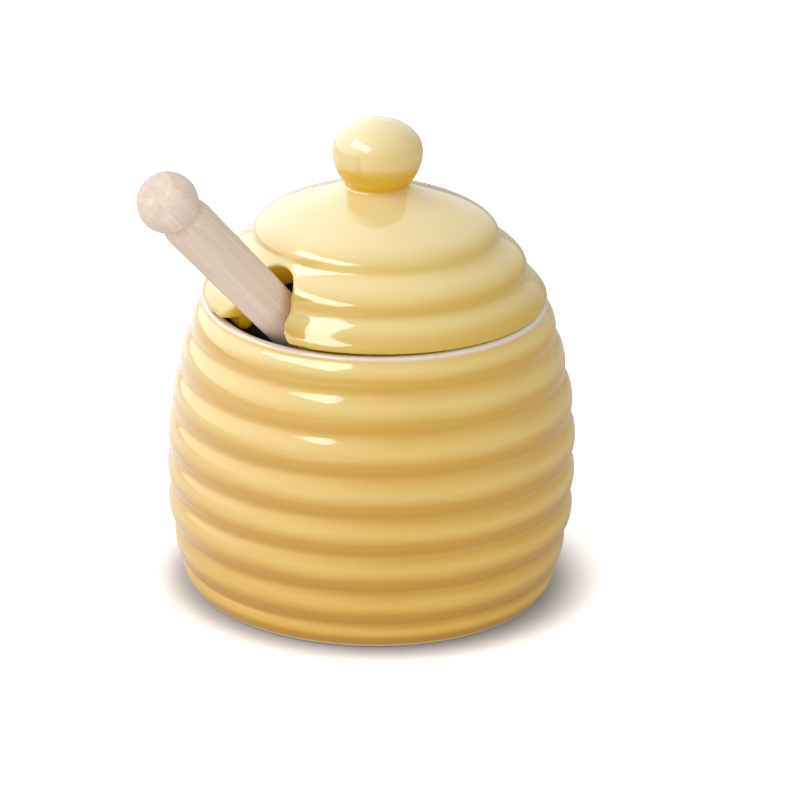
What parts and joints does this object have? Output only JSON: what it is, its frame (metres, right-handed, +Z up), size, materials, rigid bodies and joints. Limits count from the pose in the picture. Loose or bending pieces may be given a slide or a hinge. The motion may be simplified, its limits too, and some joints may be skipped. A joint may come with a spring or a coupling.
{
  "type": "honey pot",
  "caption": "Ribbed yellow stoneware honey pot shaped like a beehive, with a notched lift-off lid, a ball knob and a turned wooden dipper leaning out.",
  "frame": {"origin": "on the pot's axis, in the flat underside that it stands on", "axes": "+Z up along the pot's axis; the lid's notch and the dipper's handle are towards -X, in the XZ plane"},
  "size_m": [0.1256, 0.1, 0.1211],
  "materials": {
    "glazed_pot": "glossy yellow glaze, paler on the rim and bare clay at the foot",
    "glazed_lid": "glossy yellow glaze inside and out",
    "pale_wood": "bare, smooth-turned pale wood with fine straight grain"
  },
  "bodies": {
    "pot": {"pot": "glazed_pot"},
    "lid": {"lid": "glazed_lid"},
    "dipper": {"dipper": "pale_wood"}
  },
  "joints": [
    {"name": "lid_lift", "type": "slide", "parent": "pot", "child": "lid", "axis": [0, 0, 1], "range_m": [0, 0.1]},
    {"name": "dipper_draw", "type": "slide", "parent": "pot", "child": "dipper", "axis": [-0.7023, 0, 0.7119], "range_m": [0, 0.05]}
  ]
}
